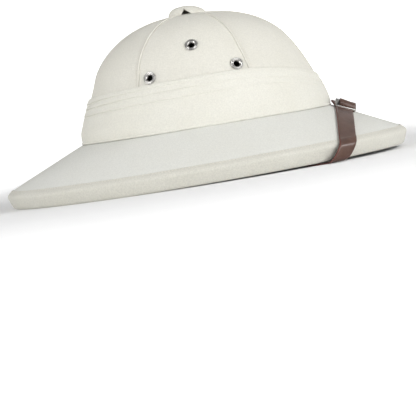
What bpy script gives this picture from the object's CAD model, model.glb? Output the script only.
# A cotton-covered pith helmet: the finished surfaces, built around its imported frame.
# +X is the helmet's front, +Y the wearer's left and +Z up; it rests on the floor at Z 0.
import functools
import math

import bmesh
import bpy
import numpy as np
from bpy.props import FloatProperty, FloatVectorProperty, IntProperty, PointerProperty
from bpy.types import Operator, Panel, PropertyGroup
from mathutils import Matrix, Vector, noise


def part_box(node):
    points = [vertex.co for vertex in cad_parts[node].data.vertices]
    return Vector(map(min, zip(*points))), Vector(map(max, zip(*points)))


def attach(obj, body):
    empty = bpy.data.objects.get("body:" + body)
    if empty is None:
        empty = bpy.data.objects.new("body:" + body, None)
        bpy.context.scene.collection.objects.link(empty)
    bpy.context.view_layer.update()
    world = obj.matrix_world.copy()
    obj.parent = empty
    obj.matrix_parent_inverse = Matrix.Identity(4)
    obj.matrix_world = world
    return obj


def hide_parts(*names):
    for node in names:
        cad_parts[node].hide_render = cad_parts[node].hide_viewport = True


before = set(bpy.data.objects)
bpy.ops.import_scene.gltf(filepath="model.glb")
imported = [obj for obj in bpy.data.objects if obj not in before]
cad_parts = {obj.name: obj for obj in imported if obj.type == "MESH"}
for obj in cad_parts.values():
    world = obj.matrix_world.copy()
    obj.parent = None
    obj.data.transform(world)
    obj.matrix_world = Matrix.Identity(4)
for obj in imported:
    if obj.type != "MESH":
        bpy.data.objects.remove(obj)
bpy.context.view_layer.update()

bl_info = {
    "name": "Pith Helmet",
    "version": (1, 0, 0),
    "blender": (4, 5, 0),
    "location": "View3D > Sidebar > Helmet",
    "description": "Builds a cotton-covered pith helmet around its frame",
    "category": "Object",
}

# ---- sizes, in millimetres ------------------------------------------------------------

MM = 0.001
GAP = 0.3
FLOOR_GAP = 0.02  # the tape and the strap lie no closer to the floor than this
CLOTH = 1.0
SHELL = 2.6
COVER = CLOTH + GAP  # the shell's face lies this far below the cloth's


def box_mm(node):
    """The lowest and highest corners of a frame node, in millimetres."""
    return [np.array(corner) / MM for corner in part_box(node)]


RIM_LOW, RIM_HIGH = box_mm("brim_binding")
RIM_HALF_LENGTH, RIM_HALF_WIDTH = ((RIM_HIGH - RIM_LOW) / 2)[:2]
RIM_RISE_START = -60.0  # forward of this X the rim rises
RIM_RISE_SLOPE = 0.012

BRIM_ROOT = 46.8
BRIM_SWELL = 0.4
BRIM_THICK = 0.55
BRIM_TUCK = (0.75, 0.022)  # how far its cloth sinks at the rim, and over what share of it
BRIM_ROOT_TUCK = (0.5, 0.012)  # and at the crown
BRIM_PUCKER = (0.1, 0.07)  # height of its puckers, and how far up they reach

# Crown's cloth at each height: height, front end, rear end, half width.
CROWN = np.array([
    (47.2, 114.9, -103.9, 92.0),
    (60.0, 112.8, -101.6, 90.3),
    (76.0, 106.8, -95.4, 85.2),
    (92.0, 99.8, -88.8, 80.0),
    (108.0, 90.8, -81.8, 73.6),
    (122.0, 79.4, -69.6, 64.4),
    (134.0, 61.6, -52.0, 50.8),
    (141.8, 38.6, -29.6, 31.6),
    (145.0, 13.5, -4.5, 9.0),
])

# Rim binding's section: out from the rim's outermost line, up from the floor.
RIM_SECTION = np.array([
    (-4.6, 15.7), (-1.9, 14.1), (0.0, 11.4), (-0.9, 7.2), (-3.4, 1.9),
    (-5.4, 0.0), (-8.6, 0.0), (-10.4, 1.8), (-10.8, 9.6),
])

TAPE_THICK = 0.72
TAPE_OVERHANG = 0.4  # how far its upper edge runs on over the brim's cloth
TAPE_PUCKER = 0.16
TAPE_PUCKER_MOST = 0.2

GORES = ("front_left", "left", "rear_left", "rear_right", "right", "front_right")
GORE_ANGLE = 2 * math.pi / len(GORES)
GORE_THICK = 0.9
SEAM_DIP = 0.45  # how far the cloth sinks into a seam
SEAM_REACH = 1.3
SEAM_HIDDEN = 3  # how far it runs on under the puggaree
SEAM_SPACING = 2.1  # from the seam to the row of stitches on each side

# Unevenness of the cloth: height and reach of each layer of waves, and its seed.
GORE_WAVES = ((0.22, 38, 1), (0.07, 11, 9))
BRIM_WAVES = ((0.38, 46, 21), (0.1, 13, 22))
PUGGAREE_WAVES = ((0.42, (34, 34, 9), 41), (0.14, (15, 15, 4), 42))
BINDING_WAVES = ((0.3, (26, 26, 9), 31),)
KNOB_WAVES = ((0.28, (6, 6, 4), 51),)
PUCKERS = 118  # small puckers round the rim, where the binding is sewn

# Height of the puggaree's top edge, at equal turns from the front to the rear.
PUGGAREE_TOP = np.array([75.0, 82.0, 88.0, 88.4, 87.6, 85.6, 83.6])
# Folds below the top edge: how far below it they run at the front, side and rear.
FOLDS = {
    "upper": (3.4, 3.0, 5.4),
    "middle": (9.5, 8.2, 9.6),
    "lower": (13.0, 15.5, 15.0),
}
# Shape of one fold: distance above its line, and how proud the cloth stands there.
FOLD_SHAPE = (
    (1.8, 0.14), (0.9, 0.24), (0.4, 0.24), (0.12, 0.1), (0.0, -0.3),
    (-0.15, -0.42), (-0.45, -0.26), (-1.1, -0.06), (-2.0, 0.04),
)
# The part below the folds, from the last fold's line to the foot: share of the way, proud.
SKIRT = (
    (0.22, 2.1), (0.35, 2.3), (0.5, 2.6), (0.62, 2.8), (0.72, 2.8), (0.8, 2.6),
    (0.86, 2.3), (0.9, 2.1), (0.915, 2.05), (0.925, 2.45), (0.945, 2.6), (0.975, 2.55),
    (0.99, 2.3), (1.0, 1.7),
)
PUGGAREE_PROUD = 2.0
PUGGAREE_EDGE = 0.35  # its outer face stands off the crown at least this far
PUGGAREE_INSIDE = 0.18  # and its inner face this far
FOLD_FADE = (1.1, 0.3, 0.24, 0.32, 0.6, 1.4, 1.4)  # strength, at equal turns from the front

KNOB_LOW, KNOB_HIGH = box_mm("vent_knob")
KNOB_CENTRE = (KNOB_LOW + KNOB_HIGH) / 2
KNOB_RADIUS = (KNOB_HIGH[0] - KNOB_LOW[0]) / 2
KNOB_HEIGHT = KNOB_HIGH[2] - KNOB_LOW[2]
KNOB_OPENINGS = 3  # the first faces the right side
KNOB_OPENING = math.radians(18)  # half the turn that each opening takes
KNOB_OPENING_HEIGHT = 5.2
KNOB_LIP = 0.7
KNOB_LIP_REACH = 0.07
KNOB_LEAN = 0.3  # how far the dome leans back for each unit of height
KNOB_PINCH = 0.3  # how far its side draws in between openings
KNOB_WALL = 1.2
KNOB_FOOT = 1.3  # how far its edge reaches down onto the crown

# Eyelets on each side: distance along X, and height.
EYELETS = ((8.0, 115.6), (43.6, 93.8), (-31.0, 93.6))
EYELET_HOLE = 3.5
EYELET_SIDES = 48
# Eyelet's section, from the foot of its barrel: radius, and height over the cloth.
EYELET_SECTION = (
    (2.25, -4.3), (3.2, -4.3), (3.2, 0.1), (5.2, 0.05), (5.45, 0.2), (5.5, 0.45),
    (5.36, 0.7), (5.05, 0.8), (4.72, 0.7), (4.5, 0.5), (4.34, 0.6), (4.05, 0.84),
    (3.65, 0.88), (3.25, 0.7), (2.75, 0.15), (2.38, -0.6), (2.25, -1.4),
)
EYELET_DIMPLE = 0.32  # how far the eyelet presses the cloth in
EYELET_DIMPLE_REACH = 1.4

STRAP_HALF = 7.0
STRAP_THICK = 1.6
STRAP_EASE = 0.45  # how far its cut edges are rounded
STRAP_BOW = 0.16  # how far its face swells between them
STRAP_FINE = 9  # rows for each station
STRAP_ALONG = 127.1
STRAP_DRIFT = 2.2  # how much farther back it reaches the rim
STRAP_LIFT = 0.5
STRAP_RIM_ROWS = 7
STRAP_SLANT_END = 1 / 3
STRAP_LEAN = 3.0  # how far it leans back towards the crown past the buckle
STRAP_ARCH = 4.0  # how far it rises off the brim there
STRAP_PAST = 3.0  # Y of the middle of that stretch
STRAP_PAST_REACH = 13.0
STRAP_PAST_LOW = BRIM_ROOT - 30  # the strap above this lies on the brim
STRAP_BULGE = (0.2, 1.4, 3.0, 4.8, 6.0, 5.2, 2.8)  # how far it stands off each row of the rim
BUCKLE_DROP = math.radians(15)  # how far the buckle tips down onto the strap
METAL_EASE = 0.5  # width of the eased edges of the buckle and the rivets
FOLD_EASE = 0.6
FOLD_SHIFT = (1.3, -0.8, -0.5)  # sets the leather fold over the tipped buckle's bar
FOLD_SCALE = (1, 1.1, 1.3, 1)  # how much fuller it is along each axis
ANCHOR_ALONG = 34.0
ANCHOR_HEIGHT = 54.0
ANCHOR_LEAN = 0.35
ANCHOR_LIFT = 1.2
ANCHOR_RUN = 13.0


# ---- settings -------------------------------------------------------------------------

def colour(name, description, default):
    return FloatVectorProperty(
        name=name, description=description, default=default, size=3,
        min=0.0, max=1.0, subtype="COLOR")


def length(name, description, default):
    return FloatProperty(
        name=name, description=description, default=default, min=0.0,
        precision=5, unit="LENGTH", subtype="DISTANCE")


class HelmetColours(PropertyGroup):
    """Colours of the helmet's cloth, leather and metal."""
    crown: colour("Crown", "Cotton of the crown and vent knob", (0.7, 0.686, 0.624))
    puggaree: colour("Puggaree", "Folded cotton of the hatband", (0.735, 0.725, 0.662))
    brim: colour("Brim", "Cotton of the brim", (0.72, 0.722, 0.682))
    binding: colour("Binding", "Cotton twill tape on the rim", (0.665, 0.655, 0.592))
    lining: colour("Lining", "Cloth on the inside of the pith", (0.62, 0.6, 0.5))
    thread: colour("Thread", "Sewing thread", (0.78, 0.75, 0.66))
    leather: colour("Leather", "Face of the strap", (0.064, 0.034, 0.025))
    leather_edge: colour("Leather Edge", "Cut edge of the strap", (0.12, 0.036, 0.028))
    nickel: colour("Nickel", "Eyelets, rivets and buckle", (0.5, 0.49, 0.47))
    floor: colour("Floor", "Studio floor", (0.88, 0.88, 0.88))


class HelmetSizes(PropertyGroup):
    """Fine sizes of the helmet's sewing and weave."""
    piping_radius: length("Piping Radius", "Radius of the cord in a crown seam", 0.0007)
    stitch_pitch: length("Stitch Pitch", "Distance from stitch to stitch", 0.0028)
    stitch_length: length("Stitch Length", "Length of one stitch", 0.0019)
    stitch_thickness: length("Stitch Thickness", "Thickness of one stitch", 0.00034)
    weave_pitch: length("Weave Pitch", "Distance from thread to thread", 0.0006)
    twill_pitch: length("Twill Pitch", "Distance from rib to rib of the tape", 0.0011)
    ring_steps: IntProperty(
        name="Ring Steps", description="Columns round the brim and puggaree",
        default=360, min=36, max=720)


def colours():
    return bpy.context.scene.helmet_colours


def sizes():
    return bpy.context.scene.helmet_sizes


# ---- faces of the helmet --------------------------------------------------------------

def unit(v):
    return v / np.maximum(np.linalg.norm(v, axis=-1, keepdims=True), 1e-12)


def spline(rows, part):
    """A smooth line through equally spaced rows, for part from 0 to 1."""
    rows = np.asarray(rows, float)
    ends = (2 * rows[:1] - rows[1:2], rows, 2 * rows[-1:] - rows[-2:-1])
    knots = np.concatenate(ends)
    last = len(rows) - 1
    place = np.clip(part, 0, 1) * last
    index = np.minimum(place.astype(int), last - 1)
    t = place - index
    if rows.ndim > 1:
        t = t[..., None]
    a, b, c, d = (knots[index + i] for i in range(4))
    start, end = (c - a) / 2, (d - b) / 2
    return (b + start * t + (3 * (c - b) - 2 * start - end) * t ** 2
            + (2 * (b - c) + start + end) * t ** 3)


def crown_face(up, angle):
    """The crown's cloth at a share up from 0 to 1 and a turn from the front."""
    height, front, rear, side = np.moveaxis(spline(CROWN, up), -1, 0)
    x = (front + rear) / 2 + (front - rear) / 2 * np.cos(angle)
    return np.stack([x, side * np.sin(angle), height], -1)


def rim_face(out, up, angle):
    """The rim at a distance out from its outermost line and up from the floor."""
    x = RIM_HALF_LENGTH * np.cos(angle)
    y = RIM_HALF_WIDTH * np.sin(angle)
    flat = np.zeros_like(x)
    outward = unit(np.stack([x / RIM_HALF_LENGTH ** 2, y / RIM_HALF_WIDTH ** 2, flat], -1))
    rise = RIM_RISE_SLOPE * np.maximum(x - RIM_RISE_START, 0)
    return np.stack([x, y, up + rise], -1) + outward * np.asarray(out)[..., None]


def brim_face(up, angle):
    up, angle = np.broadcast_arrays(up, angle)
    root = crown_face(np.zeros_like(up), angle)
    root[..., 2] = BRIM_ROOT
    edge = rim_face(*RIM_SECTION[0], angle)
    face = edge + (root - edge) * up[..., None]
    face[..., 2] += 4 * BRIM_SWELL * up * (1 - up)
    return face


def face_normal(face, up, angle):
    step = 1e-3
    along = face(up, angle + step) - face(up, angle - step)
    climb = face(np.minimum(up + step, 1), angle) - face(np.maximum(up - step, 0), angle)
    return unit(np.cross(along, climb))


def solve(measure, target, low, high):
    """The value between low and high where a rising measure reaches its target."""
    for _ in range(50):
        middle = (low + high) / 2
        if measure(middle) < target:
            low = middle
        else:
            high = middle
    return (low + high) / 2


UP_TABLE = np.linspace(0, 1, 801)
HEIGHT_TABLE = spline(CROWN, UP_TABLE)[:, 0]


def crown_up(height):
    return np.interp(height, HEIGHT_TABLE, UP_TABLE)


def crown_angle(up, x):
    _, front, rear, _ = spline(CROWN, up)
    return math.acos((x - (front + rear) / 2) / ((front - rear) / 2))


def brim_place(x, y):
    """Up and angle where the brim's face passes (x, y), for y on the left or the middle."""
    def angle_at(up):
        return solve(lambda angle: -brim_face(up, angle)[0], -x, 0.0, math.pi)
    up = solve(lambda u: -brim_face(u, angle_at(u))[1], -max(y, 1e-6), 0.0, 1.0)
    return up, angle_at(up)


def ripple(points, size, seed):
    """Smooth noise from -1 to 1 over the points; size is how far a wave reaches."""
    spread = points.reshape(-1, 3) / np.asarray(size, float) + seed * 17.3
    values = [noise.noise(Vector(p)) for p in spread]
    return np.array(values).reshape(points.shape[:-1])


def run_along(path):
    """How far along the path each of its points lies."""
    return np.concatenate([[0], np.cumsum(np.linalg.norm(np.diff(path, axis=0), axis=1))])


def waves(points, layers, shift=0):
    """Layers of smooth noise over the points: each layer's height, reach and seed."""
    return sum(height * ripple(points, size, seed + shift) for height, size, seed in layers)


# ---- meshes ---------------------------------------------------------------------------

def quads(rows, columns, close_rows, close_columns):
    """Faces of a grid, and for each corner its cell in a grid one row and column larger."""
    r = np.arange(rows if close_rows else rows - 1)
    c = np.arange(columns if close_columns else columns - 1)
    r, c = (g.ravel() for g in np.meshgrid(r, c, indexing="ij"))
    corners = ((r, c), (r, c + 1), (r + 1, c + 1), (r + 1, c))
    faces = np.stack([(i % rows) * columns + j % columns for i, j in corners], -1)
    cells = np.stack([i * (columns + 1) + j for i, j in corners], -1)
    return faces, cells


def placed(name, data):
    """A new object in the scene."""
    item = bpy.data.objects.new(name, data)
    bpy.context.scene.collection.objects.link(item)
    return item


def link_mesh(name, mesh, finish):
    mesh.materials.clear()
    mesh.materials.append(finish)
    return placed(name, mesh)


def grid_piece(name, points, finish, width, capped=False):
    """A closed wall. Rows of points go round its section; columns go round the helmet, or
    end in caps. width is each point's place across the cloth, for the weave."""
    rows, columns = points.shape[:2]
    faces, cells = quads(rows, columns, True, not capped)
    run = np.linalg.norm(np.diff(points, axis=0, append=points[:1]), axis=-1).mean(1)
    climb = np.concatenate([[0], np.cumsum(run)])
    across = np.concatenate([width, width[:1]])
    if across.shape[1] == columns:
        across = np.concatenate([across, across[:, -1:]], 1)
    uv = np.stack([across, np.broadcast_to(climb[:, None], across.shape)], -1).reshape(-1, 2)
    if capped:
        i = np.arange(rows // 2 - 1)
        cap = np.stack([i, rows - 1 - i, rows - 2 - i, i + 1], -1) * columns
        end = cap[:, ::-1] + columns - 1
        faces = np.concatenate([faces, cap, end])
        cells = np.concatenate([cells, cap // columns * (columns + 1)] + [
            end // columns * (columns + 1) + columns - 1])
    return mesh_piece(name, points.reshape(-1, 3), faces, finish, uv[cells.ravel()])


def mesh_piece(name, points, faces, finish, uv):
    """A closed mesh piece from points in millimetres, with its faces turned outwards."""
    corners = points[faces]
    fans = [(corners[:, 0], corners[:, i], corners[:, i + 1])
            for i in range(1, faces.shape[1] - 1)]
    volume = sum((a * np.cross(b, c)).sum() for a, b, c in fans)
    uv = uv.reshape(*faces.shape, 2)
    if volume < 0:
        faces, uv = faces[:, ::-1], uv[:, ::-1]
    mesh = bpy.data.meshes.new(name)
    mesh.from_pydata((points * MM).tolist(), [], faces.tolist())
    layer = mesh.uv_layers.new(name="cloth")
    layer.data.foreach_set("uv", (uv * MM).ravel().astype(np.float32))
    mesh.shade_smooth()
    mesh.update()
    return link_mesh(name, mesh, finish)


def baked(piece):
    """The piece with its modifiers turned into a plain mesh."""
    bpy.context.view_layer.update()
    seen = piece.evaluated_get(bpy.context.evaluated_depsgraph_get())
    mesh = bpy.data.meshes.new_from_object(seen)
    piece.modifiers.clear()
    old = piece.data
    piece.data = mesh
    bpy.data.meshes.remove(old)
    mesh.name = piece.name
    return piece


def finish_piece(piece, slot, *nodes):
    """Hands the piece over, and names the frame nodes that it stands for, if any."""
    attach(piece, "root")
    if nodes:
        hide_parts(*nodes)


def bored(piece, places, radius):
    """Cuts a round hole through the piece at each place, a point and a direction."""
    drill = bmesh.new()
    for point, direction in places:
        turn = Vector((0, 0, 1)).rotation_difference(Vector(direction)).to_matrix().to_4x4()
        bmesh.ops.create_cone(
            drill, cap_ends=True, segments=40, radius1=radius * MM, radius2=radius * MM,
            depth=24 * MM, matrix=Matrix.Translation(Vector(point) * MM) @ turn)
    mesh = bpy.data.meshes.new("drill")
    drill.to_mesh(mesh)
    drill.free()
    cutter = link_mesh("drill", mesh, None)
    hole = piece.modifiers.new("Bore", "BOOLEAN")
    hole.operation = "DIFFERENCE"
    hole.solver = "EXACT"
    hole.object = cutter
    baked(piece)
    bpy.data.objects.remove(cutter)


def frame_copy(node, name, finish, bevel):
    """A copy of a hard frame node with its edges eased."""
    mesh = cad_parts[node].data.copy()
    shape = bmesh.new()
    shape.from_mesh(mesh)
    bmesh.ops.remove_doubles(shape, verts=shape.verts, dist=1e-6)
    bmesh.ops.dissolve_limit(
        shape, angle_limit=math.radians(1), verts=shape.verts, edges=shape.edges)
    shape.to_mesh(mesh)
    shape.free()
    piece = link_mesh(name, mesh, finish)
    ease = piece.modifiers.new("Ease", "BEVEL")
    ease.width = bevel * MM
    ease.segments = 4
    ease.limit_method = "ANGLE"
    ease.angle_limit = math.radians(40)
    baked(piece)
    piece.data.shade_smooth()
    piece.data.set_sharp_from_angle(angle=math.radians(50))
    return piece


# ---- shader and geometry node helpers ------------------------------------------------

def feed(tree, node, values):
    """Links each socket into the node's input of that name or number, or sets its value."""
    for key, value in values.items():
        if isinstance(value, bpy.types.NodeSocket):
            tree.links.new(value, node.inputs[key])
        else:
            node.inputs[key].default_value = value


def put(tree, kind, values=None, **settings):
    """A new node, with its settings and the values of its inputs."""
    node = tree.nodes.new(kind)
    for key, value in settings.items():
        setattr(node, key, value)
    feed(tree, node, values or {})
    return node


def maths(tree, operation, *values):
    node = put(tree, "ShaderNodeMath", dict(enumerate(values)), operation=operation)
    return node.outputs[0]


def new_group(name, kind, inputs, outputs):
    """A node group, its given sockets and its result. Each socket has a kind, or the number
    that it starts from."""
    tree = bpy.data.node_groups.new(name, kind)
    for direction, sockets in (("INPUT", inputs), ("OUTPUT", outputs)):
        for label, start in sockets.items():
            sort = {float: "Float", int: "Int"}.get(type(start), start)
            socket = tree.interface.new_socket(
                label, in_out=direction, socket_type=f"NodeSocket{sort}")
            if sort != start:
                socket.default_value = start
    given = tree.nodes.new("NodeGroupInput").outputs
    return tree, given, tree.nodes.new("NodeGroupOutput")


def weave_group():
    """Height of a plain weave, or of a twill where Twill is 1, with uneven threads."""
    tree, given, result = new_group(
        "Weave", "ShaderNodeTree",
        {"Cloth": "Vector", "Pitch": 0.0006, "Twill": 0.0, "Unevenness": 0.4},
        {"Height": "Float", "Slub": "Float"})
    split = put(tree, "ShaderNodeSeparateXYZ", {0: given["Cloth"]}).outputs
    turns = maths(tree, "DIVIDE", 2 * math.pi, given["Pitch"])
    across, along = (maths(tree, "MULTIPLY", split[axis], turns) for axis in "XY")
    plain = maths(tree, "MULTIPLY", maths(tree, "SINE", across), maths(tree, "SINE", along))
    rib = maths(tree, "SINE", maths(tree, "ADD", across, along))
    mix = put(tree, "ShaderNodeMix", {"Factor": given["Twill"], "A": plain, "B": rib},
              data_type="FLOAT")
    threads = []
    for stretch in ((90, 1400, 0), (1400, 90, 0)):
        scaled = put(tree, "ShaderNodeVectorMath", {0: given["Cloth"], 1: stretch},
                     operation="MULTIPLY")
        slub = put(tree, "ShaderNodeTexNoise", {
            "Vector": scaled.outputs[0], "Scale": 1.0, "Detail": 2.0}, noise_dimensions="2D")
        threads.append(slub.outputs[0])
    uneven = maths(tree, "SUBTRACT", maths(tree, "ADD", *threads), 1.0)
    lift = maths(tree, "MULTIPLY", uneven, given["Unevenness"])
    height = maths(tree, "ADD", mix.outputs["Result"], lift)
    feed(tree, result, {"Height": height, "Slub": uneven})
    return tree


def mottle_group():
    """A soft uneven mask, as of handling, dust and fading."""
    tree, given, result = new_group(
        "Mottle", "ShaderNodeTree", {"Place": "Vector", "Size": 0.03, "Contrast": 1.0},
        {"Mask": "Float"})
    cloud = put(tree, "ShaderNodeTexNoise", {
        "Vector": given["Place"], "Scale": maths(tree, "DIVIDE", 1.0, given["Size"]),
        "Detail": 5.0, "Roughness": 0.62})
    centred = maths(tree, "SUBTRACT", cloud.outputs[0], 0.5)
    centred = maths(tree, "MULTIPLY", centred, given["Contrast"])
    clamp = put(tree, "ShaderNodeClamp", {"Value": maths(tree, "ADD", centred, 0.5)})
    feed(tree, result, {"Mask": clamp.outputs[0]})
    return tree


def grain_group():
    """Height of leather's pores and creases."""
    tree, given, result = new_group(
        "Grain", "ShaderNodeTree", {"Place": "Vector", "Size": 0.0008},
        {"Height": "Float", "Crease": "Float"})
    scale = maths(tree, "DIVIDE", 1.0, given["Size"])
    pores = put(tree, "ShaderNodeTexVoronoi", {"Vector": given["Place"], "Scale": scale},
                feature="SMOOTH_F1")
    crease = put(tree, "ShaderNodeTexNoise", {
        "Vector": given["Place"], "Scale": maths(tree, "MULTIPLY", scale, 0.22),
        "Detail": 4.0}).outputs[0]
    height = maths(tree, "ADD", pores.outputs["Distance"], crease)
    feed(tree, result, {"Height": height, "Crease": crease})
    return tree


def new_finish(name):
    """A material, its node tree, its shader, and the place on the piece for textures."""
    finish = bpy.data.materials.new(name)
    finish.use_nodes = True
    tree = finish.node_tree
    place = put(tree, "ShaderNodeTexCoord").outputs["Object"]
    return finish, tree, tree.nodes["Principled BSDF"], place


def tint(tone, *by):
    """The tone times one number, or a number for each part, as a shader's colour."""
    return (*(c * k for c, k in zip(tone, by * (3 // len(by)))), 1)


def blend(tree, mask, low, high):
    mix = put(tree, "ShaderNodeMix", {"Factor": mask}, data_type="RGBA")
    ends = {"A": low, "B": high}
    feed(tree, mix, {i: ends[s.name] for i, s in enumerate(mix.inputs) if s.type == "RGBA"})
    return next(s for s in mix.outputs if s.type == "RGBA")


def bump(tree, height, distance, strength, **more):
    return put(tree, "ShaderNodeBump", {
        "Height": height, "Distance": distance, "Strength": strength, **more}).outputs[0]


class Finishes:
    """The helmet's materials, each made once."""

    def __init__(self):
        self.weave = weave_group()
        self.mottle = mottle_group()
        self.grain = grain_group()
        tones = colours()
        pitch = sizes().weave_pitch
        self.crown = self.cloth("crown_cotton", tones.crown, pitch)
        self.puggaree = self.cloth("puggaree_cotton", tones.puggaree, pitch)
        self.brim = self.cloth("brim_cotton", tones.brim, pitch)
        self.binding = self.cloth(
            "binding_twill", tones.binding, sizes().twill_pitch, twill=1.0, depth=0.00012,
            grain=0.6)
        self.lining = self.cloth("pith_lining", tones.lining, pitch * 2, on_object=True)
        self.thread = self.cloth("sewing_thread", tones.thread, pitch, on_object=True)
        self.leather = self.hide(tones.leather, tones.leather_edge)
        self.nickel = self.metal(tones.nickel)

    def mask(self, tree, place, size, contrast):
        return put(tree, "ShaderNodeGroup", {
            "Place": place, "Size": size, "Contrast": contrast},
            node_tree=self.mottle).outputs["Mask"]

    def cloth(self, name, tone, pitch, twill=0.0, depth=0.00008, grain=0.42, on_object=False):
        finish, tree, shader, place = new_finish(name)
        lie = place if on_object else put(tree, "ShaderNodeUVMap", uv_map="cloth").outputs[0]
        weave = put(tree, "ShaderNodeGroup", {"Cloth": lie, "Pitch": pitch, "Twill": twill},
                    node_tree=self.weave).outputs
        broad = self.mask(tree, place, 0.045, 2.2)
        fine = self.mask(tree, place, 0.0012, 3.4)
        base = blend(tree, broad, tint(tone, 1), tint(tone, 0.955, 0.95, 0.925))
        base = blend(tree, maths(tree, "MULTIPLY", fine, grain), base, tint(tone, 0.72))
        slub = maths(tree, "MULTIPLY_ADD", weave["Slub"], 0.25, 0.12)
        soft = bump(tree, fine, 0.0003, 0.35)
        feed(tree, shader, {
            "Base Color": blend(tree, slub, base, tint(tone, 0.88)),
            "Roughness": maths(tree, "MULTIPLY_ADD", broad, 0.08, 0.86),
            "Specular IOR Level": 0.25, "Sheen Weight": 0.12, "Sheen Roughness": 0.5,
            "Normal": bump(tree, weave["Height"], depth, 0.8, Normal=soft)})
        return finish

    def hide(self, tone, cut):
        finish, tree, shader, place = new_finish("strap_leather")
        grain = put(tree, "ShaderNodeGroup", {"Place": place, "Size": 0.0009},
                    node_tree=self.grain).outputs
        rub = self.mask(tree, place, 0.012, 2.0)
        edge = put(tree, "ShaderNodeAttribute", attribute_name="cut_edge").outputs["Fac"]
        base = blend(tree, rub, tint(tone, 1), tint(tone, 1.7))
        rough = maths(tree, "MULTIPLY_ADD", grain["Crease"], 0.14, 0.27)
        feed(tree, shader, {
            "Base Color": blend(tree, edge, base, tint(cut, 1)),
            "Roughness": maths(tree, "MULTIPLY_ADD", edge, 0.35, rough),
            "Specular IOR Level": 0.35,
            "Normal": bump(tree, grain["Height"], 0.00008, 0.5)})
        return finish

    def metal(self, tone):
        finish, tree, shader, place = new_finish("bright_nickel")
        haze = self.mask(tree, place, 0.004, 2.5)
        feed(tree, shader, {
            "Base Color": blend(tree, haze, tint(tone, 1), tint(tone, 0.72)),
            "Roughness": maths(tree, "MULTIPLY_ADD", haze, 0.18, 0.2), "Metallic": 1.0,
            "Normal": bump(tree, haze, 0.00005, 0.25)})
        return finish


@functools.cache
def finishes():
    return Finishes()


def geometry_group(name, **inputs):
    return new_group(
        name, "GeometryNodeTree",
        {"Geometry": "Geometry", **inputs, "Material": "Material"}, {"Geometry": "Geometry"})


def ended(tree, given, result, geometry):
    """The tree, ended in Realize Instances, smooth shading and its material."""
    real = put(tree, "GeometryNodeRealizeInstances", {0: geometry})
    smooth = put(tree, "GeometryNodeSetShadeSmooth", {"Geometry": real.outputs[0]})
    paint = put(tree, "GeometryNodeSetMaterial", {
        "Geometry": smooth.outputs[0], "Material": given["Material"]})
    feed(tree, result, {"Geometry": paint.outputs[0]})
    return tree


def cord_tree():
    """A round cord along the edges of a mesh."""
    tree, given, result = geometry_group("Seam Cord", Radius=0.0007, Sides=12)
    line = put(tree, "GeometryNodeMeshToCurve", {"Mesh": given["Geometry"]})
    ring = put(tree, "GeometryNodeCurvePrimitiveCircle", {
        "Resolution": given["Sides"], "Radius": given["Radius"]}, mode="RADIUS")
    sweep = put(tree, "GeometryNodeCurveToMesh", {
        "Curve": line.outputs["Curve"], "Profile Curve": ring.outputs["Curve"],
        "Fill Caps": True})
    return ended(tree, given, result, sweep.outputs["Mesh"])


def lie_rotation(tree):
    """A turn whose Z is the point's stored lie."""
    lie = put(tree, "GeometryNodeInputNamedAttribute", {"Name": "lie"},
              data_type="FLOAT_VECTOR")
    return put(tree, "FunctionNodeAlignRotationToVector", {
        "Vector": lie.outputs["Attribute"]}, axis="Z").outputs[0]


def stitch_tree():
    """Stitches laid along the edges of a mesh, each a small rounded thread."""
    tree, given, result = geometry_group(
        "Stitch Row", Pitch=0.0028, Length=0.0019, Thickness=0.0003, Seed=4)
    line = put(tree, "GeometryNodeMeshToCurve", {"Mesh": given["Geometry"]})
    spaced = put(tree, "GeometryNodeResampleCurve", {
        "Curve": line.outputs["Curve"], "Length": given["Pitch"]}, mode="LENGTH")
    thread = put(tree, "GeometryNodeMeshUVSphere", {"Segments": 8, "Rings": 5, "Radius": 0.5})
    size = put(tree, "ShaderNodeCombineXYZ", {
        "X": given["Length"], "Y": given["Thickness"], "Z": given["Thickness"]})
    uneven = put(tree, "FunctionNodeRandomValue", {"Seed": given["Seed"]}, data_type="FLOAT")
    ends = [s for s in uneven.inputs if s.type == "VALUE"]
    ends[0].default_value, ends[1].default_value = 0.86, 1.08
    scaled = put(tree, "ShaderNodeVectorMath", {
        0: size.outputs[0], "Scale": next(s for s in uneven.outputs if s.type == "VALUE"),
    }, operation="SCALE")
    follow = put(tree, "FunctionNodeAlignRotationToVector", {
        "Rotation": lie_rotation(tree),
        "Vector": put(tree, "GeometryNodeInputTangent").outputs[0],
    }, axis="X", pivot_axis="Z")
    laid = put(tree, "GeometryNodeInstanceOnPoints", {
        "Points": spaced.outputs["Curve"], "Instance": thread.outputs["Mesh"],
        "Rotation": follow.outputs[0], "Scale": scaled.outputs[0]})
    return ended(tree, given, result, laid.outputs["Instances"])


def fitting_tree():
    """One fitting set on each point of a mesh, standing along the point's lie."""
    tree, given, result = geometry_group("Set Fittings", Fitting="Object", Size=1.0)
    shape = put(tree, "GeometryNodeObjectInfo", {"Object": given["Fitting"]})
    laid = put(tree, "GeometryNodeInstanceOnPoints", {
        "Points": given["Geometry"], "Instance": shape.outputs["Geometry"],
        "Rotation": lie_rotation(tree), "Scale": given["Size"]})
    return ended(tree, given, result, laid.outputs["Instances"])


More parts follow.
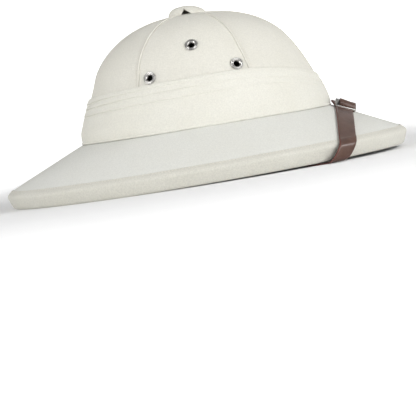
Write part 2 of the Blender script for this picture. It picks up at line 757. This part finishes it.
def node_piece(name, lines, tree, closed=False, **values):
    """A piece that a geometry tree makes from lines, each its points and their lies."""
    mesh = bpy.data.meshes.new(name)
    points, edges, lies = [], [], []
    for line, lie in lines:
        start = len(points)
        points.extend((line * MM).tolist())
        lies.extend(lie.tolist())
        edges.extend((i, i + 1) for i in range(start, len(points) - 1))
        if closed:
            edges.append((len(points) - 1, start))
    mesh.from_pydata(points, edges, [])
    stored = mesh.attributes.new("lie", "FLOAT_VECTOR", "POINT")
    stored.data.foreach_set("vector", np.array(lies, np.float32).ravel())
    piece = link_mesh(name, mesh, values["Material"])
    maker = piece.modifiers.new("Make", "NODES")
    maker.node_group = tree
    for item in tree.interface.items_tree:
        if item.in_out == "INPUT" and item.name in values:
            maker[item.identifier] = values[item.name]
    return baked(piece)


# ---- shell and cloth ------------------------------------------------------------------

def ring_angles(columns):
    return np.linspace(0, 2 * math.pi, columns, endpoint=False)


def turned(radius, height, sides):
    """Points of a section, given by its radius and height, turned round Z."""
    turn = ring_angles(sides)
    return np.stack(np.broadcast_arrays(
        radius[:, None] * np.cos(turn), radius[:, None] * np.sin(turn), height[:, None]), -1)


def ring_width(columns, radius, rows):
    """Place across the cloth for each row and column of a ring, with a closing column."""
    return np.broadcast_to(np.arange(columns + 1) / columns * 2 * math.pi * radius,
                           (rows, columns + 1))


def rim_inside(section, distance):
    along = unit(np.gradient(section, axis=0))
    return section + np.stack([along[:, 1], -along[:, 0]], -1) * distance


def eyelet_places():
    places = []
    for side in (-1, 1):
        for along, height in EYELETS:
            up = crown_up(height)
            angle = side * crown_angle(up, along)
            places.append((crown_face(up, angle), face_normal(crown_face, up, angle)))
    return places


def gathers(face, turn):
    """Small puckers round the rim, from -1 to 1, a little unevenly spaced."""
    return np.sin(turn * PUCKERS + 2 * ripple(face, 30, 3))


def wall(face, normal, lift, thick):
    """Rows of a closed wall: its outer face, lifted, and its inner face back again."""
    outer = face + normal * lift[..., None]
    return np.concatenate([outer, (outer - normal * thick)[::-1]])


def build_shell():
    columns = 240
    angle = ring_angles(columns)

    def band(face, ups, distance):
        u, a = np.meshgrid(ups, angle, indexing="ij")
        return face(u, a) + face_normal(face, u, a) * distance

    lip = rim_inside(spline(RIM_SECTION, np.linspace(0, 1, 25)), COVER)[::-1]
    lip = np.stack([rim_face(out, up, angle) for out, up in lip])
    brim_ups = np.linspace(0.06, 1, 14)
    crown_ups = np.linspace(0, 1, 44)
    inner = -COVER - SHELL
    points = np.concatenate([
        lip, band(brim_face, brim_ups, -COVER), band(crown_face, crown_ups[1:], -COVER),
        band(crown_face, crown_ups, inner)[::-1], band(brim_face, brim_ups, inner)[::-1],
    ])
    width = ring_width(columns, RIM_HALF_WIDTH, len(points))
    piece = grid_piece("pith_shell", points, finishes().lining, width)
    bored(piece, eyelet_places(), EYELET_HOLE)
    finish_piece(piece, "shell", "shell")


def build_gore(index):
    rows, columns = 76, 61
    name = GORES[index]
    allowance = GAP / 2 / CROWN[0, 3]
    first, last = index * GORE_ANGLE, (index + 1) * GORE_ANGLE
    part = 0.5 - 0.5 * np.cos(np.linspace(0, math.pi, columns))
    angles = first + allowance + part * (GORE_ANGLE - 2 * allowance)
    up, angle = np.meshgrid(np.linspace(0, 1, rows), angles, indexing="ij")
    face = crown_face(up, angle)
    normal = face_normal(crown_face, up, angle)
    to_seam = np.minimum(*(
        np.linalg.norm(face - crown_face(up, np.full_like(up, seam)), axis=-1)
        for seam in (first, last)))
    lift = -SEAM_DIP * np.exp(-(to_seam / SEAM_REACH) ** 2)
    lift += waves(face, GORE_WAVES, index)
    for place, _ in eyelet_places():
        beyond = np.maximum(np.linalg.norm(face - place, axis=-1) - EYELET_SECTION[3][0], 0)
        lift -= EYELET_DIMPLE * np.exp(-(beyond / EYELET_DIMPLE_REACH) ** 2)
    points = wall(face, normal, lift, GORE_THICK)
    radius = (CROWN[:, 1] - CROWN[:, 2]).mean() / 2
    across = (angle - (first + last) / 2) * radius * np.sqrt(1 - 0.96 * up ** 3)
    piece = grid_piece(
        f"crown_gore_{name}_cloth", points, finishes().crown,
        np.concatenate([across, across[::-1]]), capped=True)
    side = {"left": 1, "right": -1}.get(name)
    if side:
        bored(piece, [p for p in eyelet_places() if p[0][1] * side > 0], EYELET_HOLE)
    finish_piece(piece, "crown_cloth", f"crown_gore_{name}")


def build_gores():
    for index in range(len(GORES)):
        build_gore(index)


def build_brim():
    columns = sizes().ring_steps
    angle = ring_angles(columns)
    ups = np.concatenate([[0.004, 0.012, 0.024, 0.045], np.linspace(0.07, 0.985, 34)])
    up, turn = np.meshgrid(ups, angle, indexing="ij")
    face = brim_face(up, turn)
    normal = face_normal(brim_face, up, turn)
    sink = -BRIM_TUCK[0] * np.exp(-(up / BRIM_TUCK[1]) ** 2)
    pucker = BRIM_PUCKER[0] * np.exp(-up / BRIM_PUCKER[1]) * gathers(face, turn)
    sink -= BRIM_ROOT_TUCK[0] * np.exp(-((up - ups[-1]) / BRIM_ROOT_TUCK[1]) ** 2)
    lift = sink + pucker + waves(face, BRIM_WAVES) * np.sqrt(up)
    points = wall(face, normal, lift, BRIM_THICK)
    width = ring_width(columns, (RIM_HALF_WIDTH + CROWN[0, 3]) / 2, len(points))
    piece = grid_piece("brim_cover_cloth", points, finishes().brim, width)
    finish_piece(piece, "brim_cloth", "brim_cover")


def build_binding():
    columns = sizes().ring_steps
    angle = ring_angles(columns)
    section = spline(RIM_SECTION, np.linspace(0, 1, 57))
    section[:, 1] = np.maximum(section[:, 1], FLOOR_GAP)
    start = section[0] + (section[0] - section[1]) * TAPE_OVERHANG
    lip = np.array([start + (0.15, 0.1), start + (0.0, 0.42), section[0] + (0.35, 0.4)])
    outer = np.concatenate([lip[1:], section[3:]])
    inner = rim_inside(np.concatenate([[start], section[3:]]), TAPE_THICK)[::-1]
    loop = np.concatenate([outer, inner, lip[:1] + (0, -0.35)])
    out, turn = np.meshgrid(loop[:, 0], angle, indexing="ij")
    height = np.broadcast_to(loop[:, 1:], out.shape)
    face = rim_face(out, height, turn)
    pucker = TAPE_PUCKER * gathers(face, turn) + waves(face, BINDING_WAVES)
    free = np.clip((loop[:, 1] - 1.5) / 6, 0, 1)[:, None]
    out = out + np.minimum(pucker * free, TAPE_PUCKER_MOST) - TAPE_PUCKER_MOST * free
    width = ring_width(columns, (RIM_HALF_LENGTH + RIM_HALF_WIDTH) / 2, len(loop))
    piece = grid_piece(
        "rim_binding_tape", rim_face(out, height, turn), finishes().binding, width)
    finish_piece(piece, "binding", "brim_binding")


def puggaree_rows(part):
    """Height and proud of each row of the puggaree's face, at each part of the half turn."""
    top = spline(PUGGAREE_TOP, part)
    fade = spline(np.array(FOLD_FADE), part)
    rows = [(top + 0.02, PUGGAREE_EDGE), (top - 0.02, 0.9), (top - 0.2, 1.45), (top - 0.6, 1.8)]
    for drops in FOLDS.values():
        line = top - spline(np.array(drops), part)
        rows += [(line + above, PUGGAREE_PROUD + proud * fade) for above, proud in FOLD_SHAPE]
    foot = BRIM_ROOT - 0.55 * PUGGAREE_PROUD - 0.1
    for share, proud in SKIRT:
        belly = PUGGAREE_PROUD + (proud - PUGGAREE_PROUD) * (0.45 + 0.55 * fade)
        rows.append((line + (foot - line) * share, belly))
    return rows


def build_puggaree():
    columns = sizes().ring_steps
    angle = ring_angles(columns)
    part = np.arccos(np.cos(angle)) / math.pi
    height, proud = (np.stack([np.broadcast_to(row[k], part.shape) for row in
                               puggaree_rows(part)]) for k in (0, 1))
    fine = np.linspace(0, 1, 3 * len(height))
    rows = spline(np.stack([height, proud], -1).reshape(len(height), -1), fine)
    rows = rows.reshape(len(fine), columns, 2)
    turn = np.broadcast_to(angle, rows.shape[:2])
    up = crown_up(rows[..., 0])
    face = crown_face(up, turn)
    normal = face_normal(crown_face, up, turn)
    drape = waves(face, PUGGAREE_WAVES)
    inner_edge = np.minimum(np.arange(len(fine)), np.arange(len(fine))[::-1])[:, None]
    lift = rows[..., 1] + drape * np.clip(inner_edge / 8, 0, 1)
    outer = face + normal * np.maximum(lift, PUGGAREE_EDGE)[..., None]
    below = np.minimum(rows[..., 0] - CROWN[0, 0], 0)
    outer[..., 2] += below
    inner = face + normal * PUGGAREE_INSIDE
    inner[..., 2] += below
    points = np.concatenate([outer, inner[::-6]])
    width = ring_width(columns, CROWN[:2, 3].mean() + 8, len(points))
    piece = grid_piece("puggaree_cloth", points, finishes().puggaree, width)
    finish_piece(piece, "puggaree", "puggaree")


def seam_line(angle, low, high, shift, rise, count):
    """Points beside a crown seam, shifted along the cloth, and the cloth's lie there."""
    up = np.linspace(low, high, count)
    turn = np.full_like(up, angle)
    ahead = crown_face(up, turn + 1e-3) - crown_face(up, turn - 1e-3)
    along = np.linalg.norm(ahead, axis=-1) / 2e-3
    turn = turn + shift / np.maximum(along, 1e-3)
    normal = face_normal(crown_face, up, turn)
    return crown_face(up, turn) + normal * rise, normal


def build_seams():
    size = sizes()
    piping, rows = [], []
    for index in range(len(GORES)):
        angle = index * GORE_ANGLE
        part = np.arccos(np.cos(angle)) / math.pi
        low = crown_up(spline(PUGGAREE_TOP, part) - SEAM_HIDDEN)
        piping.append(seam_line(angle, low, 0.985, 0.0, 0.02, 90))
        rows += [seam_line(angle, low, 0.93, shift, -0.02, 60)
                 for shift in (-SEAM_SPACING, SEAM_SPACING)]
    cord = node_piece(
        "crown_seam_piping", piping, cord_tree(), Radius=size.piping_radius,
        Material=finishes().crown)
    finish_piece(cord, "crown_cloth")
    stitches = stitch_tree()
    sewing = {"Pitch": size.stitch_pitch, "Length": size.stitch_length,
              "Thickness": size.stitch_thickness, "Material": finishes().thread}
    finish_piece(node_piece("crown_seam_stitches", rows, stitches, **sewing), "crown_cloth")
    turn = ring_angles(480)
    edges = []
    for row, rise in ((0.028, 0.26), (0.965, 0.02)):
        out, up = spline(RIM_SECTION, row)
        line = rim_face(out, up, turn)
        lie = np.tile((0.0, 0.0, 1.0), (len(turn), 1))
        if row < 0.5:
            lie = face_normal(brim_face, np.zeros_like(turn), turn)
        edges.append((line + lie * rise, lie))
    finish_piece(node_piece(
        "rim_binding_stitches", edges, stitches, closed=True, **sewing), "binding")


# ---- vent knob ------------------------------------------------------------------------

def build_knob():
    rows, columns = 30, 168
    turn = ring_angles(columns)
    each = 2 * math.pi / KNOB_OPENINGS
    from_opening = np.abs((turn + math.pi / 2 + each / 2) % each - each / 2)
    share = np.clip(1 - from_opening / KNOB_OPENING, 0, 1)
    edge = (KNOB_OPENING_HEIGHT + KNOB_FOOT) * share ** 0.8 - KNOB_FOOT
    part = np.linspace(0.03, 1, rows)[:, None]
    swing = part * np.arccos(edge / KNOB_HEIGHT)
    pinch = KNOB_PINCH * (1 + np.cos(KNOB_OPENINGS * (turn + math.pi / 2)))
    pinch = pinch * np.sin(swing) ** 2

    def dome(inset):
        radius = (KNOB_RADIUS - inset) * np.sin(swing) - pinch
        height = (KNOB_HEIGHT - inset) * np.cos(swing)
        x = radius * np.cos(turn) - KNOB_LEAN * height
        return np.stack([x, radius * np.sin(turn), height], -1)

    outer, inner = dome(0.0), dome(KNOB_WALL)
    outward = unit(outer - inner)
    lip = KNOB_LIP * np.exp(-((1 - part) / KNOB_LIP_REACH) ** 2) * np.clip(share * 3, 0, 1)
    lift = lip - GAP + waves(outer, KNOB_WAVES)
    outer = outer + outward * lift[..., None] * (1, 1, 0.6)
    points = np.concatenate([outer, inner[::-1]])
    points += (KNOB_CENTRE[0], KNOB_CENTRE[1], KNOB_LOW[2])
    piece = domed_piece("vent_knob_cloth", points, finishes().crown)
    finish_piece(piece, "crown_cloth", "vent_knob")


def domed_piece(name, points, finish):
    """A closed wall from rings of points, whose first and last rings close on a pole."""
    rows, columns = points.shape[:2]
    faces, _ = quads(rows, columns, False, True)
    here = np.arange(columns)
    ahead = (here + 1) % columns
    first = rows * columns
    last = first - columns
    poles = [(first, b, a) for a, b in zip(here, ahead)]
    poles += [(first + 1, a + last, b + last) for a, b in zip(here, ahead)]
    flat = np.concatenate([points.reshape(-1, 3), [points[0].mean(0), points[-1].mean(0)]])
    mesh = bpy.data.meshes.new(name)
    polygons = faces.tolist() + [[int(i) for i in pole] for pole in poles]
    mesh.from_pydata((flat * MM).tolist(), [], polygons)
    shape = bmesh.new()
    shape.from_mesh(mesh)
    bmesh.ops.recalc_face_normals(shape, faces=shape.faces)
    layer = shape.loops.layers.uv.new("cloth")
    for face in shape.faces:
        for corner in face.loops:
            corner[layer].uv = corner.vert.co.xy
    shape.to_mesh(mesh)
    shape.free()
    mesh.shade_smooth()
    return link_mesh(name, mesh, finish)


# ---- eyelets and rivets ---------------------------------------------------------------

def build_eyelets():
    nickel = finishes().nickel
    radius, height = np.transpose(EYELET_SECTION)
    width = ring_width(EYELET_SIDES, radius.mean(), len(radius))
    fitting = grid_piece(
        "eyelet_pattern", turned(radius, height, EYELET_SIDES), nickel, width)
    bpy.context.view_layer.update()
    lines = [(point[None], lie[None]) for point, lie in eyelet_places()]
    piece = node_piece("eyelets", lines, fitting_tree(), Fitting=fitting, Material=nickel)
    bpy.data.objects.remove(fitting)
    nodes = [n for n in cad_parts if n.startswith("eyelet_")]
    finish_piece(piece, "nickel", *nodes)


# ---- chin strap -----------------------------------------------------------------------

def slant_to(direction, normal):
    """Half the strap's width, laid across it in the face's plane."""
    across = direction - normal * (direction @ normal)
    return across * (STRAP_HALF / across[0])


def rim_tangent(angle):
    return unit(np.array([
        RIM_HALF_LENGTH * math.sin(angle), -RIM_HALF_WIDTH * math.cos(angle), 0]))


def strap_brim(rim_angle, off):
    edge = rim_face(*RIM_SECTION[0], rim_angle)[1]
    found = []
    for part in np.linspace(0, 1, 11)[:-1]:
        along = STRAP_ALONG - STRAP_DRIFT * part ** 2
        up, angle = brim_place(along, part * edge)
        normal = face_normal(brim_face, up, angle)
        lean = np.array([1.0, 0, 0]) * (1 - part ** 2) + rim_tangent(rim_angle) * part ** 2
        across = slant_to(unit(lean), normal)
        found.append((brim_face(up, angle) + normal * off, across, normal))
    return found


def strap_rim(rim_angle, off):
    lean = rim_tangent(rim_angle)
    drift = abs(lean[1] / lean[0])
    path = rim_inside(RIM_SECTION, -off)[:STRAP_RIM_ROWS]
    path[:, 0] += STRAP_BULGE
    run = run_along(path)
    found = []
    for i, (out, up) in enumerate(path):
        angle = rim_angle + run[i] * drift / RIM_HALF_LENGTH
        middle = rim_face(out, up, angle)
        foot = rim_face(*RIM_SECTION[i], angle)
        normal = unit(middle - foot)
        found.append((middle, slant_to(rim_tangent(angle), normal), normal))
    return found


def strap_wall(distance):
    """The strap's end on the crown's inner wall, at a distance from its rivet."""
    along = ANCHOR_ALONG - distance * ANCHOR_LEAN
    height = ANCHOR_HEIGHT + distance * math.sqrt(1 - ANCHOR_LEAN ** 2)
    up = crown_up(height)
    angle = crown_angle(up, along)
    normal = -face_normal(crown_face, up, angle)
    depth = COVER + SHELL + ANCHOR_LIFT + STRAP_THICK / 2
    return crown_face(up, angle) + normal * depth, normal


def strap_free(foot):
    """From the foot of the rim, free to the crown's inner wall."""
    wall = [strap_wall(d) for d in np.linspace(-ANCHOR_RUN / 2, ANCHOR_RUN / 2, 3)]
    climb = unit(wall[1][0] - wall[0][0])
    sideways = unit(np.cross(climb, wall[0][1]))
    sideways = sideways * np.sign(sideways[0])
    start, foot_across, foot_normal = foot
    heading = unit(np.cross(foot_normal, foot_across))
    heading = -heading * np.sign(heading[0])
    heading = unit((heading + unit(wall[0][0] - start)) / 2)
    reach = np.linalg.norm(wall[0][0] - start) / 3
    bend = [start, start + heading * reach, wall[0][0] - climb * reach, wall[0][0]]
    found = []
    for part in np.linspace(0, 1, 13)[1:-1]:
        rest = 1 - part
        weights = (rest ** 3, 3 * rest ** 2 * part, 3 * rest * part ** 2, part ** 3)
        middle = sum(w * p for w, p in zip(weights, bend))
        slopes = (rest ** 2, 2 * rest * part, part ** 2)
        tangent = unit(sum(w * (b - a) for w, a, b in zip(slopes, bend, bend[1:])))
        normal = foot_normal * rest + wall[0][1] * part
        normal = unit(normal - tangent * (normal @ tangent))
        square = unit(np.cross(tangent, normal))
        square = square * np.sign(square[0]) * STRAP_HALF
        slant = max(1 - part / STRAP_SLANT_END, 0)
        found.append((middle, square * (1 - slant) + foot_across * slant, normal))
    found += [(point, sideways * STRAP_HALF, normal) for point, normal in wall]
    return found


def strap_stations():
    """Middle, half width and normal of the strap, from its right end to its left end."""
    off = STRAP_LIFT + STRAP_THICK / 2
    rim_angle = solve(
        lambda a: -rim_face(RIM_SECTION[0, 0], 0, a)[0],
        STRAP_DRIFT - STRAP_ALONG, 0.0, math.pi / 2)
    rim = strap_rim(rim_angle, off)
    left = np.array(strap_brim(rim_angle, off) + rim + strap_free(rim[-1]))
    right = left[:0:-1] * (1, -1, 1)
    return np.concatenate([right, left])


def build_strap():
    stations = strap_stations()
    part = np.linspace(0, 1, STRAP_FINE * len(stations))
    fine = spline(stations.reshape(len(stations), -1), part).reshape(-1, 3, 3)
    beside = (fine[:, 0, 1] - STRAP_PAST) / STRAP_PAST_REACH
    past_buckle = np.exp(-beside ** 2) * (fine[:, 0, 2] > STRAP_PAST_LOW)
    fine[:, 0, 0] -= STRAP_LEAN * past_buckle
    fine[:, 0, 2] += STRAP_ARCH * past_buckle
    half = STRAP_THICK / 2
    side = 1 - STRAP_EASE / STRAP_HALF
    corner = 1 - 0.3 * (1 - side)
    face = np.linspace(-1, 1, 9)
    across = np.array([-1, -corner, *(side * face), corner, 1])
    edge = np.array([half - STRAP_EASE, half - 0.3 * STRAP_EASE])
    top = np.concatenate([edge, half + STRAP_BOW * (1 - face ** 2), edge[::-1]])
    across = np.concatenate([across, across[::-1]])
    under = -top[::-1]
    under[2:-2] += STRAP_BOW / 2
    lift = np.concatenate([top, under])
    middle, wide, normal = (fine[:, k] for k in range(3))
    normal = unit(normal)
    points = (middle[None] + wide[None] * across[:, None, None]
              + normal[None] * lift[:, None, None])
    points[..., 2] = np.maximum(points[..., 2], FLOOR_GAP)
    piece = grid_piece(
        "chin_strap_leather", points, finishes().leather,
        np.broadcast_to(run_along(middle), points.shape[:2]), capped=True)
    mark_edges(piece, np.repeat(np.abs(across) > side + 1e-6, len(fine)))
    finish_piece(piece, "leather", "chin_strap")


def mark_edges(piece, cut):
    """Stores which points lie on a cut edge of the leather."""
    stored = piece.data.attributes.new("cut_edge", "FLOAT", "POINT")
    stored.data.foreach_set("value", cut.astype(np.float32))


def build_buckle():
    nickel, leather = finishes().nickel, finishes().leather
    far, top = box_mm("buckle_frame")[1][1:]
    hinge = Vector((0, far, top)) * MM
    tip = (Matrix.Translation(hinge) @ Matrix.Rotation(BUCKLE_DROP, 4, "X")
           @ Matrix.Translation(-hinge))
    buckle = frame_copy("buckle_frame", "buckle", nickel, METAL_EASE)
    buckle.data.transform(tip)
    finish_piece(buckle, "nickel", "buckle_frame")
    fold = frame_copy("strap_fold", "buckle_fold", leather, FOLD_EASE)
    low, high = (Vector(end * MM) for end in box_mm("strap_fold"))
    middle = (low + high) / 2
    fuller = (Matrix.Translation(middle + Vector(FOLD_SHIFT) * MM)
              @ Matrix.Diagonal(FOLD_SCALE) @ Matrix.Translation(-middle))
    fold.data.transform(tip @ fuller)
    mark_edges(fold, np.zeros(len(fold.data.vertices)))
    finish_piece(fold, "leather", "strap_fold")
    for side in ("left", "right"):
        node = f"strap_rivet_{side}"
        finish_piece(frame_copy(node, f"rivet_{side}", nickel, METAL_EASE), "nickel", node)


# ---- studio ---------------------------------------------------------------------------

VIEW_AZIMUTH = math.radians(4)
VIEW_HEIGHT = math.radians(3.55)
VIEW_ROLL = math.radians(9.29)
VIEW_TARGET = Vector((-0.00513, 0.0, -0.0273))
VIEW_DISTANCE = 1.55
VIEW_LENS = 150.7
SKY = 0.46
# Each light: its name, place, target, size across and power.
LIGHTS = (
    ("key", (1.6, -1.8, 0.62), (0, 0, 0.07), 1.5, 34),
    ("fill", (-1.7, -1.4, 0.5), (0, 0, 0.07), 1.4, 31),
    ("glint", (1.16, -0.31, 0.6), (0.13, -0.06, 0.02), 0.3, 5),
)
FLOOR_FLAT = 2.4  # radius of the level part of the floor
FLOOR_BEND = 1.6  # radius of its upward curve
BACKDROP_TOP = 5.0
FLOOR_SIDES = 96
BACKDROP_GLOW = 0.8
GLOW_START, GLOW_FULL = 0.05, 1.2  # distances from the middle where the glow comes in


def build_camera():
    back = Vector((
        math.sin(VIEW_AZIMUTH) * math.cos(VIEW_HEIGHT),
        -math.cos(VIEW_AZIMUTH) * math.cos(VIEW_HEIGHT), math.sin(VIEW_HEIGHT)))
    level = Vector((math.cos(VIEW_AZIMUTH), math.sin(VIEW_AZIMUTH), 0))
    above = back.cross(level)
    right = level * math.cos(VIEW_ROLL) - above * math.sin(VIEW_ROLL)
    top = level * math.sin(VIEW_ROLL) + above * math.cos(VIEW_ROLL)
    lens = bpy.data.cameras.new("view")
    lens.lens = VIEW_LENS
    lens.sensor_width = 36
    lens.clip_end = 50
    camera = placed("view", lens)
    turn = Matrix((right, top, back)).transposed().to_4x4()
    camera.matrix_world = Matrix.Translation(VIEW_TARGET + back * VIEW_DISTANCE) @ turn
    bpy.context.scene.camera = camera


def build_floor():
    """A round studio floor whose far edge curves up into the backdrop."""
    flat = np.linspace(0.02, FLOOR_FLAT, 12)
    bend = np.linspace(0, math.pi / 2, 13)[1:]
    radius = np.concatenate([
        flat, FLOOR_FLAT + FLOOR_BEND * np.sin(bend), [FLOOR_FLAT + FLOOR_BEND]])
    height = np.concatenate([
        np.zeros(len(flat)), FLOOR_BEND - FLOOR_BEND * np.cos(bend), [BACKDROP_TOP]])
    points = turned(radius, height, FLOOR_SIDES)
    faces, _ = quads(len(radius), FLOOR_SIDES, False, True)
    mesh = bpy.data.meshes.new("floor")
    polygons = faces.tolist() + [list(reversed(range(FLOOR_SIDES)))]
    mesh.from_pydata(points.reshape(-1, 3).tolist(), [], polygons)
    mesh.shade_smooth()
    finish, tree, shader, place = new_finish("studio_floor")
    cloud = put(tree, "ShaderNodeTexNoise", {"Vector": place, "Scale": 3.0})
    away = put(tree, "ShaderNodeVectorMath", {0: place}, operation="LENGTH")
    glow = put(tree, "ShaderNodeMapRange", {
        "Value": away.outputs["Value"], "From Min": GLOW_START, "From Max": GLOW_FULL,
        "To Max": BACKDROP_GLOW}, interpolation_type="SMOOTHSTEP")
    seen = put(tree, "ShaderNodeLightPath").outputs["Is Camera Ray"]
    feed(tree, shader, {
        "Roughness": maths(tree, "MULTIPLY_ADD", cloud.outputs[0], 0.1, 0.8),
        "Emission Strength": maths(tree, "MULTIPLY", glow.outputs["Result"], seen),
        "Emission Color": (1, 1, 1, 1), "Base Color": tint(colours().floor, 1)})
    link_mesh("floor", mesh, finish)


def build_lights():
    scene = bpy.context.scene
    world = bpy.data.worlds.new("studio")
    world.use_nodes = True
    feed(world.node_tree, world.node_tree.nodes["Background"], {
        "Color": (1, 1, 1, 1), "Strength": SKY})
    scene.world = world
    for name, place, target, size, power in LIGHTS:
        lamp = bpy.data.lights.new(name, "AREA")
        lamp.shape = "DISK"
        lamp.size = size
        lamp.energy = power
        holder = placed(name, lamp)
        holder.location = place
        aim = Vector(target) - Vector(place)
        holder.rotation_euler = aim.to_track_quat("-Z", "Y").to_euler()
    scene.view_settings.view_transform = "Standard"


def build_stage():
    build_camera()
    build_floor()
    build_lights()


# ---- operators and panel ---------------------------------------------------------------

class BuildStage(Operator):
    """Sets up the camera, floor and lights"""
    bl_idname = "helmet.stage"
    bl_label = "Stage"

    def execute(self, context):
        build_stage()
        return {"FINISHED"}


class BuildShell(Operator):
    """Makes the pith shell and its lining"""
    bl_idname = "helmet.shell"
    bl_label = "Pith Shell"

    def execute(self, context):
        build_shell()
        return {"FINISHED"}


class BuildGores(Operator):
    """Makes the six cloth gores of the crown"""
    bl_idname = "helmet.gores"
    bl_label = "Crown Gores"

    def execute(self, context):
        build_gores()
        return {"FINISHED"}


class BuildBrim(Operator):
    """Makes the brim's cloth"""
    bl_idname = "helmet.brim"
    bl_label = "Brim Cover"

    def execute(self, context):
        build_brim()
        return {"FINISHED"}


class BuildBinding(Operator):
    """Makes the twill tape round the rim"""
    bl_idname = "helmet.binding"
    bl_label = "Rim Binding"

    def execute(self, context):
        build_binding()
        return {"FINISHED"}


class BuildPuggaree(Operator):
    """Makes the folded hatband"""
    bl_idname = "helmet.puggaree"
    bl_label = "Puggaree"

    def execute(self, context):
        build_puggaree()
        return {"FINISHED"}


class BuildSeams(Operator):
    """Makes the seams' piping and all rows of stitches"""
    bl_idname = "helmet.seams"
    bl_label = "Piping and Stitches"

    def execute(self, context):
        build_seams()
        return {"FINISHED"}


class BuildKnob(Operator):
    """Makes the cloth vent knob"""
    bl_idname = "helmet.knob"
    bl_label = "Vent Knob"

    def execute(self, context):
        build_knob()
        return {"FINISHED"}


class BuildEyelets(Operator):
    """Sets the six nickel eyelets"""
    bl_idname = "helmet.eyelets"
    bl_label = "Eyelets"

    def execute(self, context):
        build_eyelets()
        return {"FINISHED"}


class BuildStrap(Operator):
    """Makes the leather strap"""
    bl_idname = "helmet.strap"
    bl_label = "Chin Strap"

    def execute(self, context):
        build_strap()
        return {"FINISHED"}


class BuildBuckle(Operator):
    """Makes the slide buckle, the strap's fold and the rivets"""
    bl_idname = "helmet.buckle"
    bl_label = "Buckle and Rivets"

    def execute(self, context):
        build_buckle()
        return {"FINISHED"}


STEPS = (BuildStage, BuildShell, BuildGores, BuildBrim, BuildBinding, BuildPuggaree,
         BuildSeams, BuildKnob, BuildEyelets, BuildStrap, BuildBuckle)


class HelmetPanel(Panel):
    """Lists the helmet's pieces, colours and sizes"""
    bl_idname = "VIEW3D_PT_helmet"
    bl_label = "Pith Helmet"
    bl_space_type = "VIEW_3D"
    bl_region_type = "UI"
    bl_category = "Helmet"

    def draw(self, context):
        for settings in (context.scene.helmet_colours, context.scene.helmet_sizes):
            box = self.layout.box()
            for key in settings.__annotations__:
                box.prop(settings, key)
        for step in STEPS:
            self.layout.operator(step.bl_idname)


CLASSES = (HelmetColours, HelmetSizes, *STEPS, HelmetPanel)


def register():
    for item in CLASSES:
        bpy.utils.register_class(item)
    bpy.types.Scene.helmet_colours = PointerProperty(type=HelmetColours)
    bpy.types.Scene.helmet_sizes = PointerProperty(type=HelmetSizes)


def unregister():
    del bpy.types.Scene.helmet_sizes
    del bpy.types.Scene.helmet_colours
    for item in reversed(CLASSES):
        bpy.utils.unregister_class(item)


def plain(box):
    """A box as plain lists of numbers."""
    return [[float(value) for value in corner] for corner in box]


def main():
    register()
    for step in STEPS:
        name = step.bl_idname.split(".")[1]
        getattr(bpy.ops.helmet, name)()


if __name__ == "__main__":
    main()
